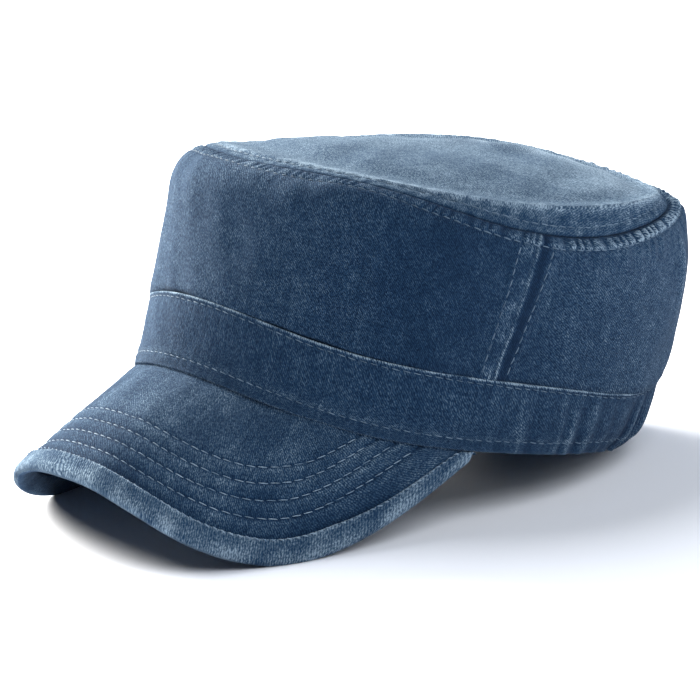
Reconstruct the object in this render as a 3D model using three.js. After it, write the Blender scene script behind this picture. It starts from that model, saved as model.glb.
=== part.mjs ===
// Cadet cap in washed cotton twill: a crown of two wall panels under a soft oval top, a folded band round
// its foot, and an arched visor with a bound edge. Millimetres, +Z up, the front towards -Y and the
// wearer's left towards +X. The cap is shaped upright and then leant back to the way it rests: on the
// two corners of its visor and the back of its band.
import * as THREE from "three";

const { clamp, degToRad, lerp, smoothstep } = THREE.MathUtils;

// Cloth and board thicknesses, and the clearance that sewn pieces keep from each other
const CROWN_CLOTH = 1.6;
const BAND_CLOTH = 1.6;
const BINDING_CLOTH = 0.9;
const VISOR_BOARD = 2.6;
const GAP = 0.3;

// Every level section is an oval. An exponent of 2 would make it an ellipse.
const SQUARENESS = 2.11;

// Sections of the band, from its foot to its folded top edge. front, back and half are the oval's reaches.
// heights run from the front centre to the back centre, every 45 degrees. tuck pulls the back inwards.
const BAND_SECTIONS = [
  { front: 101.5, back: 96, half: 82.5, heights: [5.5, -3, -5, -4.5, -4.5], tuck: 9, rise: 0 },
  { front: 100, back: 99.5, half: 84, heights: [14.5, 6, 3.5, 4.5, 4.5], tuck: 2.5, rise: 0 },
  { front: 98, back: 101, half: 85, heights: [32.5, 24, 20.5, 21, 30], tuck: 0, rise: 0 },
];
const BAND_TOP = BAND_SECTIONS.length - 1;
const TUCK_START = degToRad(95);
const TUCK_FULL = degToRad(150);

// Gathers that the elastic draws into the back of the band
const GATHERS_A_SIDE = 7;
const GATHER_DEPTH = 1.1;
const GATHER_START = degToRad(105);
const GATHER_FULL = degToRad(130);

// Sections of the crown, from the hem under the band, out over the band's edge and round the shoulder to
// the rim seam and the crest inside it. rise lifts the back right.
const CROWN_SECTIONS = [
  underBand({ drop: 3, slack: 1.2 }),
  underBand({ drop: 0, slack: 0 }),
  { front: 97.4, back: 101.2, half: 85, heights: [38.5, 30, 26.5, 27, 36], tuck: 0, rise: 0 },
  { front: 96, back: 104.5, half: 87, heights: [57.5, 55.5, 50.5, 54, 54], tuck: 0, rise: 0 },
  { front: 95.5, back: 103, half: 87, heights: [71.5, 70.5, 65.5, 70.5, 72], tuck: 0, rise: 3 },
  { front: 91, back: 97.5, half: 86, heights: [79, 78.5, 71, 82.5, 88.5], tuck: 0, rise: 6.5 },
  { front: 82, back: 90, half: 83.5, heights: [83.5, 82.5, 74.7, 86, 88.5], tuck: 0, rise: 7 },
  { front: 75.5, back: 84.5, half: 79, heights: [85.5, 84.5, 84.5, 90.5, 91], tuck: 0, rise: 6.5 },
];
const CREST = CROWN_SECTIONS.length - 1;
const RIM_SEAM = CREST - 1;
const RIM_GAP = 0.04; // clearance at the rim seam, as a share of the way from the seam to the crest
const TOP_CENTRE = new THREE.Vector3(0, 26, 98);
const DOME_POWER = 1.8; // how the top falls from its centre to the crest, where 2 is a parabola

// The side seams lean back as they climb from the band to the rim.
const SIDE_SEAM_FOOT = degToRad(78);
const SIDE_SEAM_HEAD = degToRad(83);
const SEAM_GAP = 0.5;
const AT_SIDE = 2; // where a section's heights hold its height at the sides

// Visor: it leaves the band's foot from one end angle to the other, dips to two corners and arches between
const VISOR_END = degToRad(79.5);
const VISOR_FRONT = 143.5;
const VISOR_FRONT_HEIGHT = -36;
const VISOR_CORNER_HEIGHT = -53;
const VISOR_CORNER = degToRad(51);
const VISOR_FLARE = 2;
const VISOR_BULGE = 2.4;
const EDGE_SQUARENESS = { across: 2.7, along: 2.25 };
const VISOR_REACH = 0.95; // share of the end angle that the board covers, short of the binding's reach
const BINDING_REACH = 0.985;
const BINDING_WIDTH = 8.3;
const JOINT_INSET = 1.6;
const JOINT_DROP = { front: 1.5, end: 0.9 }; // the sloping front needs more room under the band than the ends
const END_TAPER = 0.45; // thickness left at the visor's two ends, where it runs under the band
const TAPER_START = 0.8;

// Rest: how far the cap leans back, and how far its foot is lifted to stand on the floor
const REST_TILT = degToRad(15.3);
const REST_LIFT = 25.4;

// Facets
const WALL_STEP = degToRad(5);
const WALL_ROWS_A_SECTION = 2;
const BAND_ROWS = 4;
const FACETS_A_GATHER = 6;
const TOP_ROWS = [RIM_GAP, 0.5, 1, 1.12, 1.3, 1.55, 1.8, 2];
const VISOR_STEPS = 42;
const VISOR_ROWS = 6;
const FOLD_STEPS = 4;
const DIFFERENCE = 0.002;

const DENIM = {
  front: 0x46617f,
  back: 0x415b79,
  top: 0x7c96b0,
  band: 0x3f5875,
  visor: 0x3c5573,
  binding: 0x54708e,
};

// A section of the crown where it stands inside the band, some way below the band's top edge
function underBand({ drop, slack }) {
  const top = BAND_SECTIONS[BAND_TOP];
  const inset = BAND_CLOTH + GAP + slack;
  return {
    front: top.front - inset,
    back: top.back - inset,
    half: top.half - inset,
    heights: top.heights.map((height) => height - drop),
    tuck: 0,
    rise: 0,
  };
}

// Smooth even curve through values at equal steps from 0 to 180 degrees
function evenWave(values, angle) {
  const last = values.length - 1;
  const share = (i) => (i === 0 || i === last ? 0.5 : 1);
  let sum = 0;
  for (let k = 0; k <= last; k++) {
    const parts = values.map((value, j) => share(j) * value * Math.cos((Math.PI * j * k) / last));
    const amplitude = (2 / last) * parts.reduce((total, part) => total + part, 0);
    sum += share(k) * amplitude * Math.cos(k * angle);
  }
  return sum;
}

function catmullRom(a, b, c, d, t) {
  const linear = (c - a) * t;
  const square = (2 * a - 5 * b + 4 * c - d) * t * t;
  const cube = (3 * b - a - 3 * c + d) * t * t * t;
  return 0.5 * (2 * b + linear + square + cube);
}

// The section at a level between the rows of a table, level 0 being the first row
function sectionAt(sections, level) {
  const last = sections.length - 1;
  const i = clamp(Math.floor(level), 0, last - 1);
  const t = level - i;
  const mix = (read) => {
    const b = read(sections[i]);
    const c = read(sections[i + 1]);
    const a = i > 0 ? read(sections[i - 1]) : 2 * b - c;
    const d = i + 2 <= last ? read(sections[i + 2]) : 2 * c - b;
    return catmullRom(a, b, c, d, t);
  };
  return {
    front: mix((s) => s.front),
    back: mix((s) => s.back),
    half: mix((s) => s.half),
    heights: sections[0].heights.map((_, k) => mix((s) => s.heights[k])),
    tuck: mix((s) => s.tuck),
    rise: mix((s) => s.rise),
  };
}

// A point of an oval section. The angle is 0 at the front and grows towards the wearer's left.
function ovalPoint(section, angle) {
  const power = 2 / SQUARENESS;
  const c = Math.cos(angle);
  const s = Math.sin(angle);
  const along = c > 0 ? section.front : section.back;
  const x = section.half * Math.sign(s) * Math.abs(s) ** power;
  const y = -along * Math.sign(c) * Math.abs(c) ** power;
  return new THREE.Vector3(x, y, evenWave(section.heights, angle));
}

function pulledIn(point, distance) {
  const keep = 1 - distance / Math.hypot(point.x, point.y);
  return point.set(point.x * keep, point.y * keep, point.z);
}

function gatherAt(angle, level) {
  const fromBack = (Math.PI - Math.abs(angle)) / (Math.PI - GATHER_START);
  const ridge = 0.5 - 0.5 * Math.cos(2 * Math.PI * GATHERS_A_SIDE * fromBack);
  const swell = 1 - (level / BAND_TOP) ** 2;
  return GATHER_DEPTH * ridge * swell * smoothstep(Math.abs(angle), GATHER_START, GATHER_FULL);
}

function bandPoint(angle, level) {
  const section = sectionAt(BAND_SECTIONS, level);
  const tuck = section.tuck * smoothstep(Math.abs(angle), TUCK_START, TUCK_FULL);
  return pulledIn(ovalPoint(section, angle), tuck + gatherAt(angle, level));
}

function crownPoint(angle, level) {
  const section = sectionAt(CROWN_SECTIONS, level);
  const point = ovalPoint(section, angle);
  point.z += section.rise * Math.max(0, -Math.sin(angle + Math.PI / 4)) ** 2;
  return point;
}

// way is 0 at the rim seam, 1 at the crest and 2 at the centre of the top
function topPoint(angle, way) {
  if (way <= 1) return crownPoint(angle, RIM_SEAM + way);
  const crest = crownPoint(angle, CREST);
  const out = 2 - way;
  const height = lerp(TOP_CENTRE.z, crest.z, Math.max(out, 0) ** DOME_POWER);
  return crest.lerp(TOP_CENTRE, 1 - out).setZ(height);
}

// Where the visor starts, just inside and under the band's foot. side runs from -1, right, to 1, left.
function visorJoint(side) {
  const foot = pulledIn(bandPoint(side * VISOR_END, 0), JOINT_INSET);
  const drop = lerp(JOINT_DROP.front, JOINT_DROP.end, Math.sin((side * Math.PI) / 2) ** 2);
  return foot.setZ(foot.z - drop);
}

function visorEdge(side) {
  const end = visorJoint(1);
  const angle = Math.abs(side) * (Math.PI / 2);
  const across = Math.sin(angle) ** (2 / EDGE_SQUARENESS.across);
  const along = Math.cos(angle) ** (2 / EDGE_SQUARENESS.along);
  const half = end.x + VISOR_FLARE * Math.sin(2 * angle) ** 2;
  const arch = 0.5 + 0.5 * Math.cos(Math.PI * clamp(angle / VISOR_CORNER, 0, 1));
  const climb = clamp((angle - VISOR_CORNER) / (Math.PI / 2 - VISOR_CORNER), 0, 1) ** 2;
  const front = lerp(VISOR_CORNER_HEIGHT, VISOR_FRONT_HEIGHT, arch);
  return new THREE.Vector3(
    Math.sign(side) * half * across,
    lerp(end.y, -VISOR_FRONT, along),
    front + (end.z - VISOR_CORNER_HEIGHT) * climb,
  );
}

const visorLength = (side) => visorEdge(side).distanceTo(visorJoint(side));

// A point of the visor's middle surface, some way in from its free edge
function visorMiddle(side, inward) {
  const joint = visorJoint(side);
  const edge = visorEdge(side);
  const s = inward / edge.distanceTo(joint);
  const point = edge.lerp(joint, s);
  point.z += VISOR_BULGE * 4 * s * (1 - s);
  return point;
}

// A point above or below the visor's middle surface, thinner towards the two ends
function visorPoint(side, inward, above) {
  const point = visorMiddle(side, inward);
  const beside = visorMiddle(side + DIFFERENCE, inward).sub(visorMiddle(side - DIFFERENCE, inward));
  const behind = visorMiddle(side, inward + DIFFERENCE).sub(point);
  const normal = beside.cross(behind).normalize();
  const taper = lerp(1, END_TAPER, smoothstep(Math.abs(side), TAPER_START, BINDING_REACH));
  return point.addScaledVector(normal, above * taper);
}

// Points that would sink into the floor are pressed flat on it.
function rested(point) {
  const floor = (point.y * Math.sin(REST_TILT) - REST_LIFT) / Math.cos(REST_TILT);
  return point.setZ(Math.max(point.z, floor));
}

const steps = (from, to, count) => Array.from({ length: count + 1 }, (_, i) => lerp(from, to, i / count));
const VISOR_SIDES = steps(-VISOR_REACH, VISOR_REACH, VISOR_STEPS);
const gridOf = (rows, columns, place) => rows.map((row) => columns.map((column) => place(column, row)));

// The same sheet moved inwards by a cloth's thickness, along its own normals
function liningOf(rows, columns, place, thickness) {
  return gridOf(rows, columns, (column, row) => {
    const beside = place(column + DIFFERENCE, row).sub(place(column - DIFFERENCE, row));
    const above = place(column, row + DIFFERENCE).sub(place(column, row - DIFFERENCE));
    const normal = beside.cross(above);
    if (normal.length() < 1e-9) normal.set(0, 0, 1);
    return place(column, row).addScaledVector(normal.normalize(), -thickness);
  });
}

// One closed solid between two sheets with the same rows and columns
function shell(outer, inner, closed) {
  const rows = outer.length;
  const columns = outer[0].length;
  const points = [...outer.flat(), ...inner.flat()];
  const outside = (i, j) => j * columns + (i % columns);
  const inside = (i, j) => rows * columns + outside(i, j);
  const index = [];
  const triangle = (a, b, c) => {
    const flat = [[a, b], [b, c], [c, a]].some(([p, q]) => points[p].distanceTo(points[q]) < 1e-4);
    if (!flat) index.push(a, b, c);
  };
  const quad = (a, b, c, d) => {
    triangle(a, b, c);
    triangle(a, c, d);
  };
  const spans = closed ? columns : columns - 1;
  for (let i = 0; i < spans; i++) {
    for (let j = 0; j < rows - 1; j++) {
      quad(outside(i, j), outside(i + 1, j), outside(i + 1, j + 1), outside(i, j + 1));
      quad(inside(i + 1, j), inside(i, j), inside(i, j + 1), inside(i + 1, j + 1));
    }
    quad(outside(i + 1, 0), outside(i, 0), inside(i, 0), inside(i + 1, 0));
    quad(outside(i, rows - 1), outside(i + 1, rows - 1), inside(i + 1, rows - 1), inside(i, rows - 1));
  }
  for (let j = 0; j < rows - 1 && !closed; j++) {
    const end = columns - 1;
    quad(outside(0, j), outside(0, j + 1), inside(0, j + 1), inside(0, j));
    quad(outside(end, j), inside(end, j), inside(end, j + 1), outside(end, j + 1));
  }
  const geometry = new THREE.BufferGeometry().setFromPoints(points);
  geometry.setIndex(index);
  geometry.computeVertexNormals();
  return geometry;
}

function sideSeamAngle(level) {
  const [foot, here, head] = [1, level, RIM_SEAM].map((at) => sectionAt(CROWN_SECTIONS, at).heights[AT_SIDE]);
  return lerp(SIDE_SEAM_FOOT, SIDE_SEAM_HEAD, clamp((here - foot) / (head - foot), 0, 1));
}

// Half of the crown's wall: angles run from one side seam to the other, round the front or the back
function wallPanel(round) {
  const rows = steps(0, RIM_SEAM, RIM_SEAM * WALL_ROWS_A_SECTION);
  const spread = round === "front" ? 2 * SIDE_SEAM_FOOT : 2 * (Math.PI - SIDE_SEAM_FOOT);
  const columns = steps(-1, 1, Math.round(spread / WALL_STEP));
  const place = (share, level) => {
    const seam = sideSeamAngle(level);
    const clear = SEAM_GAP / 2 / CROWN_SECTIONS[1].half;
    const angle = round === "front" ? share * (seam - clear) : Math.PI + share * (Math.PI - seam - clear);
    return crownPoint(angle, level);
  };
  return shell(gridOf(rows, columns, place), liningOf(rows, columns, place, CROWN_CLOTH), false);
}

function topPanel() {
  const columns = steps(-Math.PI, Math.PI, Math.round((2 * Math.PI) / WALL_STEP)).slice(0, -1);
  const lining = liningOf(TOP_ROWS, columns, topPoint, CROWN_CLOTH);
  return shell(gridOf(TOP_ROWS, columns, topPoint), lining, true);
}

function bandRing() {
  const rows = steps(0, BAND_TOP, BAND_ROWS);
  const plain = steps(-GATHER_START, GATHER_START, Math.round((2 * GATHER_START) / WALL_STEP));
  const gathered = steps(GATHER_START, 2 * Math.PI - GATHER_START, 2 * GATHERS_A_SIDE * FACETS_A_GATHER);
  const signed = gathered.slice(1, -1).map((angle) => (angle > Math.PI ? angle - 2 * Math.PI : angle));
  const columns = [...plain, ...signed];
  const outer = gridOf(rows, columns, bandPoint);
  const inner = liningOf(rows, columns, bandPoint, BAND_CLOTH);
  return shell(outer.map((row) => row.map(rested)), inner.map((row) => row.map(rested)), true);
}

function visorBoard() {
  const columns = VISOR_SIDES;
  const hidden = VISOR_BOARD / 2 + BINDING_CLOTH + 2 * GAP;
  const rows = steps(0, 1, VISOR_ROWS);
  const sheet = (above) =>
    gridOf(rows, columns, (side, row) => {
      const inward = lerp(hidden, visorLength(side), row);
      return rested(visorPoint(side, inward, above));
    });
  return shell(sheet(VISOR_BOARD / 2), sheet(-VISOR_BOARD / 2), false);
}

// The binding's section is a U: two flat legs along the board and a round fold past its edge.
function visorBinding() {
  const beyond = (VISOR_REACH + BINDING_REACH) / 2;
  const columns = [-BINDING_REACH, -beyond, ...VISOR_SIDES, beyond, BINDING_REACH];
  const insideHalf = VISOR_BOARD / 2 + GAP;
  const outsideHalf = insideHalf + BINDING_CLOTH;
  const turns = steps(-Math.PI / 2, Math.PI / 2, FOLD_STEPS);
  const sheet = (half) => {
    const legEnd = (side) => Math.min(BINDING_WIDTH, visorLength(side));
    const fold = turns.map((turn) => ({
      inward: () => outsideHalf - half * Math.cos(turn),
      above: half * Math.sin(turn),
    }));
    const section = [{ inward: legEnd, above: -half }, ...fold, { inward: legEnd, above: half }];
    const place = (side, corner) => visorPoint(side, corner.inward(side), corner.above);
    return gridOf(section, columns, (side, corner) => rested(place(side, corner)));
  };
  return shell(sheet(outsideHalf), sheet(insideHalf), false);
}

function cloth(color) {
  return new THREE.MeshStandardMaterial({ color, roughness: 0.95, metalness: 0 });
}

const PIECES = [
  { name: "front_panel", geometry: wallPanel("front"), color: DENIM.front },
  { name: "back_panel", geometry: wallPanel("back"), color: DENIM.back },
  { name: "top_panel", geometry: topPanel(), color: DENIM.top },
  { name: "band", geometry: bandRing(), color: DENIM.band },
  { name: "visor", geometry: visorBoard(), color: DENIM.visor },
  { name: "visor_binding", geometry: visorBinding(), color: DENIM.binding },
];

const cap = new THREE.Group();
for (const { name, geometry, color } of PIECES) {
  const mesh = new THREE.Mesh(geometry, cloth(color));
  mesh.name = name;
  cap.add(mesh);
}
cap.rotation.x = -REST_TILT;
cap.position.z = REST_LIFT;

// The origin is on the floor, under the middle of the cap.
const middle = new THREE.Box3().setFromObject(cap, true).getCenter(new THREE.Vector3());
cap.position.y = -middle.y;

const root = new THREE.Group();
root.add(cap);
export default root;
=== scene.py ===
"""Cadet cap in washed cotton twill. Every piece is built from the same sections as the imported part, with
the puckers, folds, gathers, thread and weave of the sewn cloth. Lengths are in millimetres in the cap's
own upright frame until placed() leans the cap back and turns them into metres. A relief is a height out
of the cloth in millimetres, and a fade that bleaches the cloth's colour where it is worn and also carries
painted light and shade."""
import math

import bpy
import numpy as np
from mathutils import Matrix, Vector


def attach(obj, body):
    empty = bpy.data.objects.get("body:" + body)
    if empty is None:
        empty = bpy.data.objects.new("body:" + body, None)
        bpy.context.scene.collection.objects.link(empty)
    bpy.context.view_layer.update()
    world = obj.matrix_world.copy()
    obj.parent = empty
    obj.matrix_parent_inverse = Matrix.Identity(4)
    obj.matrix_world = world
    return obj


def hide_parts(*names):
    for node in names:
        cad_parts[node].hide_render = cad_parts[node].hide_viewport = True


RAD = math.pi / 180
METRE = 1000

# Rest: the cap leans back on its visor's corners and the back of its band
REST_TILT = 15.3 * RAD
REST_LIFT = 25.4
REST_SHIFT = 14.525

# Cloth
CROWN_CLOTH = 1.6
BAND_CLOTH = 1.6
BINDING_CLOTH = 0.9
VISOR_BOARD = 2.6
GAP = 0.3
SQUARENESS = 2.11
MEAN_RADIUS = 93
SIDE_RADIUS = 0.94 * MEAN_RADIUS

# columns: front, back, half, heights at 0, 45, 90, 135 and 180 degrees, tuck of the back, rise of the right
FRONT, BACK, HALF = 0, 1, 2
HEIGHTS = slice(3, 8)
AT_SIDE, TUCK, RISE = 5, 8, 9
BAND = np.array([
    (101.5, 96, 82.5, 5.5, -3, -5, -4.5, -4.5, 9, 0),
    (100, 99.5, 84, 14.5, 6, 3.5, 4.5, 4.5, 2.5, 0),
    (98, 101, 85, 32.5, 24, 20.5, 21, 30, 0, 0),
])
STEP = BAND_CLOTH + GAP
UNDER_BAND = BAND[2] - np.array([STEP, STEP, STEP, 0, 0, 0, 0, 0, 0, 0])
CROWN = np.array([
    UNDER_BAND - np.array([1.2, 1.2, 1.2, 3, 3, 3, 3, 3, 0, 0]),
    UNDER_BAND,
    (97.4, 101.2, 85, 38.5, 30, 26.5, 27, 36, 0, 0),
    (96, 104.5, 87, 57.5, 55.5, 50.5, 54, 54, 0, 0),
    (95.5, 103, 87, 71.5, 70.5, 65.5, 70.5, 72, 0, 3),
    (91, 97.5, 86, 79, 78.5, 71, 82.5, 88.5, 0, 6.5),
    (82, 90, 83.5, 83.5, 82.5, 74.7, 86, 88.5, 0, 7),
    (75.5, 84.5, 79, 85.5, 84.5, 84.5, 90.5, 91, 0, 6.5),
])
BAND_EDGE = 1
RIM_SEAM = 6
TUCK_ARC = (95 * RAD, 150 * RAD)
RISE_TURN = math.pi / 4
TOP_CENTRE = np.array([0, 26, 98])
TOP_RADIUS = 80
DOME_POWER = 1.8

# The band's top edge rides up at the gathered corners of the back, over so many levels of the crown
EDGE_RIDE = 7.5
RIDE_LEVELS = 1.08
RIDE_CORNER = 150 * RAD
RIDE_WIDTH = 17 * RAD

# Side seams, with the angles by which a panel stops short of its seam and its inner face reaches past it
SIDE_SEAM_FOOT = 78 * RAD
SIDE_SEAM_HEAD = 83 * RAD
SEAM_GAP = 0.001
SEAM_TUCK = 0.012
SEAM_MIDDLE = 0.6

# Visor
VISOR_END = 79.5 * RAD
VISOR_FRONT = 143.5
VISOR_FRONT_HEIGHT = -36
VISOR_CORNER_HEIGHT = -53
VISOR_CORNER = 51 * RAD
VISOR_FLARE = 2
VISOR_BULGE = 2.4
VISOR_RUN = 165
VISOR_START = 2.8
EDGE_ACROSS = 2.7
EDGE_ALONG = 2.25
VISOR_REACH = 0.95
BINDING_REACH = 0.985
BINDING_WIDTH = 8.3
LEAST_SLOPE = 0.7
JOINT_INSET = 1.6
JOINT_DROP = (1.5, 0.9)
SEWN_IN = 1.7
SEWN_UP = 4.5
SEWN_RUN = 4
END_TAPER = 0.45
TAPER_START = 0.8

# Stitch rows: below and above the rim seam, beside a side seam at its head and foot, up the band in levels
# of its table, and in from the visor's free edge
RIM_STITCH = 5.2
TOP_STITCH = 4.2
SEAM_STITCH = (6.2, 4.4)
SEAM_ROW = (6.2, 62)
WALL_HEIGHT = 60
BAND_FOOT_STITCH = 0.58
BAND_TOP_STITCH = 1.9
VISOR_ROWS = (13.6, 19.3, 25.2, 31.2)
BINDING_ROW = BINDING_WIDTH - 0.4
BINDING_ROW_REACH = 0.95
# Towards the visor's ends the rows fan out from the outermost one
ROW_FAN = 2.2
FAN_START = 0.35
ROW_SPREAD = 0.45
ROW_CLEARANCE = 0.6
BINDING_ROW_CLEARANCE = 0.3
BINDING_ROW_SINK = 0.05

# Soft forms: heights in millimetres, and fades that bleach the cloth, some of them painted light and shade
WALL_SWELL = 1.3
WALL_FADE = 0.1
SEAM_FOLD = 0.45
CREASE_RUN = 132 * RAD * MEAN_RADIUS
CREASE_LEAN = 0.1
CREASE_HEIGHT = 1.1
CREASE_FADE = 0.36
CREST_HEIGHT = 0.7
CREST_WIDTH = 2.4
ROLLED_SHADE = 0.08
FOOT_TURN = 0.8
FOOT_FADE = 0.35
EDGE_TURN = 0.9
BINDING_FADE = 0.22
# A painted highlight down the front corner of the wall and band, where the lamps light the cap's edge
LIT_CORNER = -38 * RAD
LIT_CORNER_WIDTH = 12 * RAD

# Gathers
RIM_GATHER = 0.28
# columns: more gathered, from this angle, up to this angle
MORE_GATHERED = ((0.26, 45 * RAD, 80 * RAD), (0.48, 85 * RAD, 120 * RAD))
BEAD_PITCH = 4.7
BEAD_HEIGHT = 1.35
BEAD_LIFT = 0.2
BEAD_SWING = 1.6
BEAD_ROUNDNESS = 0.8
BEAD_GAP = 0.85
BEAD_FADE = 0.05
PUCKER_WAVE = 0.75
PUCKER_SIDE_WAVE = 0.35
PUCKER_SIDE_PACE = 0.63
GATHER_PITCH = 8.5
GATHER_DEPTH = 0.9
# Painted shade in the dents of the band's gathers, lighter on their swells
GATHER_SHADE = 0.65
GATHER_ARC = (68 * RAD, 112 * RAD)

# Millimetres in a level of the band's table: at its foot, at its top and on the whole
FOOT_LEVEL = 9.5
TOP_LEVEL = 18.5
MEAN_LEVEL = 14

# Grid of each piece
LEVEL_STEPS = 360
FRONT_COLUMNS, BACK_COLUMNS = 200, 250
SEAM_COLUMNS = 34
SEAM_COLUMNS_FROM = 0.93
RIM_ROWS = np.concatenate([np.linspace(0, 7, 26), np.linspace(8, 18, 11)])
LOWER_ROWS = 21
TOP_COLUMNS = 640
TOP_WAYS = np.concatenate([np.linspace(0.03, 1, 22), np.linspace(1.02, 1.3, 9), np.linspace(1.35, 1.98, 19),
                           (1.994, 1.998, 1.9995)])
BAND_COLUMNS = 800
BAND_LEVELS = np.concatenate([np.linspace(0, 0.12, 5), np.linspace(0.18, 1, 15), np.linspace(1.06, 1.84, 11),
                              np.linspace(1.87, 2, 12)])
VISOR_COLUMNS, VISOR_ACROSS = 381, 100
BINDING_COLUMNS = 521
FOLD_TURNS = np.linspace(-math.pi / 2, math.pi / 2, 13)
FOLD_LEGS = np.array([1, 0.97, 0.9, 0.75, 0.5, 0.25])
FOLD_STRETCH = 6
LEGS_APART = 20
END_CLEARANCE = 0.05
FOOT_CLEARANCE = 0.01
RING_POINTS, SEAM_POINTS, VISOR_POINTS = 2400, 160, 1400

# Twill: UV_UNIT is the length of cloth in one unit of UV, TWILL_PITCH the distance from wale to wale
UV_UNIT = 100
TWILL_PITCH = 1.0
WALE_WOBBLE = 1.6
DEEP = (0.003, 0.0135, 0.038)
MIDDLE = (0.0135, 0.039, 0.085)
SOFT = (0.064, 0.107, 0.163)
PALE = (0.215, 0.295, 0.38)
CLOTH_FADE = ((0.05, DEEP), (0.5, MIDDLE), (0.75, SOFT), (1.0, PALE))
CLOTH_SHADER = {"Roughness": 0.92, "Specular IOR Level": 0.02, "Sheen Weight": 0.05, "Sheen Roughness": 0.6,
                "Sheen Tint": (0.8, 0.87, 0.93, 1)}
# How far each field shifts the fade
BLOTCH_FADE = 0.3
PATCH_FADE = 0.12
MOTTLE_FADE = 0.4
GRAIN_FADE = 1.75
GRAIN_LIGHTEST = 0.12
WALE_FADE = 0.36
WEAR_AND_LIGHT_FADE = 0.55
BASE_FADE = 0.42
# Inner faces are darker: painted shade, and cloth that is less bleached than the outside
UNDERSIDE_SHADE = 0.35
WALE_BUMP = 0.5
GRAIN_BUMP = 0.9

# Thread
BRIGHT_FADE = ((0.3, (0.09, 0.15, 0.23)), (0.75, (0.24, 0.33, 0.43)))
FADED_FADE = ((0.3, (0.035, 0.07, 0.12)), (0.75, (0.15, 0.225, 0.315)))
THREAD_SHADER = {"Roughness": 0.75, "Specular IOR Level": 0.25}
# A stitch from end to end, as rings: girth as a share of its radius, and lift out of the cloth
STITCH_GIRTH = np.array([0.35, 0.92, 1, 0.92, 0.35])
STITCH_LIFT = np.array([-0.1, 0.12, 0.17, 0.12, -0.1])
STITCH_TIP = 0.1
# How far stitches vary: along the row and sideways in millimetres, length and girth as shares
VARY_START = 0.12
VARY_ASIDE = 0.09
VARY_LENGTH = 0.06
VARY_GIRTH = 0.12
# columns: angle on the band's top edge, length
LOOSE_ENDS = ((147 * RAD, 5), (-96 * RAD, 4))
LOOSE_LEVEL = 1.97
LOOSE_RADIUS = 0.16
LOOSE_OUT = 0.85
LOOSE_CURL = 0.55

# Camera: it was found for a cap leaning PHOTO_TILT, and keeps its place relative to the cap
PHOTO_TILT = 11.03 * RAD
AZIMUTH = 53.65 * RAD
ELEVATION = 11.16 * RAD
DISTANCE = 2.057
TARGET = Vector((0, 0, 0.04))
SENSOR = 36
FOCAL_PIXELS = 5575
IMAGE_PIXELS = 700
AIM_PIXEL = (394.15, 296.36)

# Studio
FLOOR_REACH = 40
FLOOR_SHADER = {"Base Color": (0.83, 0.87, 0.95, 1), "Roughness": 0.85, "Specular IOR Level": 0.1}
LIGHT_AIM = Vector((0, 0, 0.06))
# columns: name, right of the picture, towards the camera, up, width, power, colour
LIGHTS = [
    ("key", -0.94, -1.04, 0.56, 0.7, 120, (1, 0.94, 0.84)),
    ("side", 1.3, 0.05, 0.32, 0.8, 6, (0.96, 0.98, 1)),
]
# columns: name, right of the picture, towards the camera, energy
SUNS = [
    ("overhead_left", -0.65, -0.75, 3.1),
    ("overhead_right", 0.75, 0.6, 1.8),
]
SUN_UP = 1.25
SUN_SPREAD = 48 * RAD
SKY_COLOUR = (0.88, 0.94, 1, 1)
SKY_STRENGTH = 0.14


def smoothstep(x, low, high):
    t = np.clip((x - low) / (high - low), 0, 1)
    return t * t * (3 - 2 * t)


def lerp(a, b, t):
    return a + (b - a) * t


def ridge(x, width):
    """A smooth bump of height 1 at x = 0."""
    return np.exp(-((x / width) ** 2))


def bump(x, at, by, width):
    return by * ridge(x - at, width)


def ramp(x, start, end, by):
    return by * smoothstep(x, start, end)


def plateau(x, start, full, fall, end):
    """Rises smoothly from 0 to 1 and falls back to 0."""
    return smoothstep(x, start, full) * (1 - smoothstep(x, fall, end))


def drift(x, y, by, size, seed, waves=9, pace=(0.55, 1.5), crowd=3.2):
    """Smooth irregular field of about -by to by whose blotches are about size across."""
    random = np.random.default_rng(seed)
    total = 0
    for _ in range(waves):
        turn, phase = random.uniform(0, 2 * math.pi, 2)
        step = random.uniform(*pace) * math.pi / size
        total = total + np.sin(step * (x * math.cos(turn) + y * math.sin(turn)) + phase)
    return by * (total / crowd)


def patchy(x, y, mean, by, size, seed):
    return mean + drift(x, y, by, size, seed)


def still(run):
    return np.zeros_like(run)


def even_wave(heights, angle):
    """Smooth even curve through heights at 0, 45, 90, 135 and 180 degrees."""
    share = np.array([0.5, 1, 1, 1, 0.5])
    order = np.arange(len(share))
    weights = 0.5 * np.outer(share, share) * np.cos(math.pi * np.outer(order, order) / order[-1])
    parts = heights @ weights
    return np.sum(parts * np.cos(order * angle[..., None]), axis=-1)


def section_at(table, level):
    """A row of the table at any level, on a smooth curve through its rows."""
    last = len(table) - 1
    i = np.clip(np.floor(level).astype(int), 0, last - 1)
    t = (level - i)[..., None]
    padded = np.vstack([2 * table[0] - table[1], table, 2 * table[last] - table[last - 1]])
    a, b, c, d = (padded[i + k] for k in range(4))
    square = 2 * a - 5 * b + 4 * c - d
    cube = 3 * b - a - 3 * c + d
    return 0.5 * (2 * b + (c - a) * t + square * t ** 2 + cube * t ** 3)


def oval(section, angle):
    power = 2 / SQUARENESS
    c, s = np.cos(angle), np.sin(angle)
    along = np.where(c > 0, section[..., FRONT], section[..., BACK])
    x = section[..., HALF] * np.sign(s) * np.abs(s) ** power
    y = -along * np.sign(c) * np.abs(c) ** power
    return np.stack([x, y, even_wave(section[..., HEIGHTS], angle)], axis=-1)


def pulled_in(points, distance):
    keep = 1 - distance / np.hypot(points[..., 0], points[..., 1])
    return points * np.stack([keep, keep, np.ones_like(keep)], axis=-1)


def from_front(angle):
    """The angle folded to 0 at the front and 180 degrees at the back."""
    return np.abs((angle + math.pi) % (2 * math.pi) - math.pi)


def edge_ride(angle):
    """How far the band's top edge rides up."""
    return EDGE_RIDE * ridge(from_front(angle) - RIDE_CORNER, RIDE_WIDTH)


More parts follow.
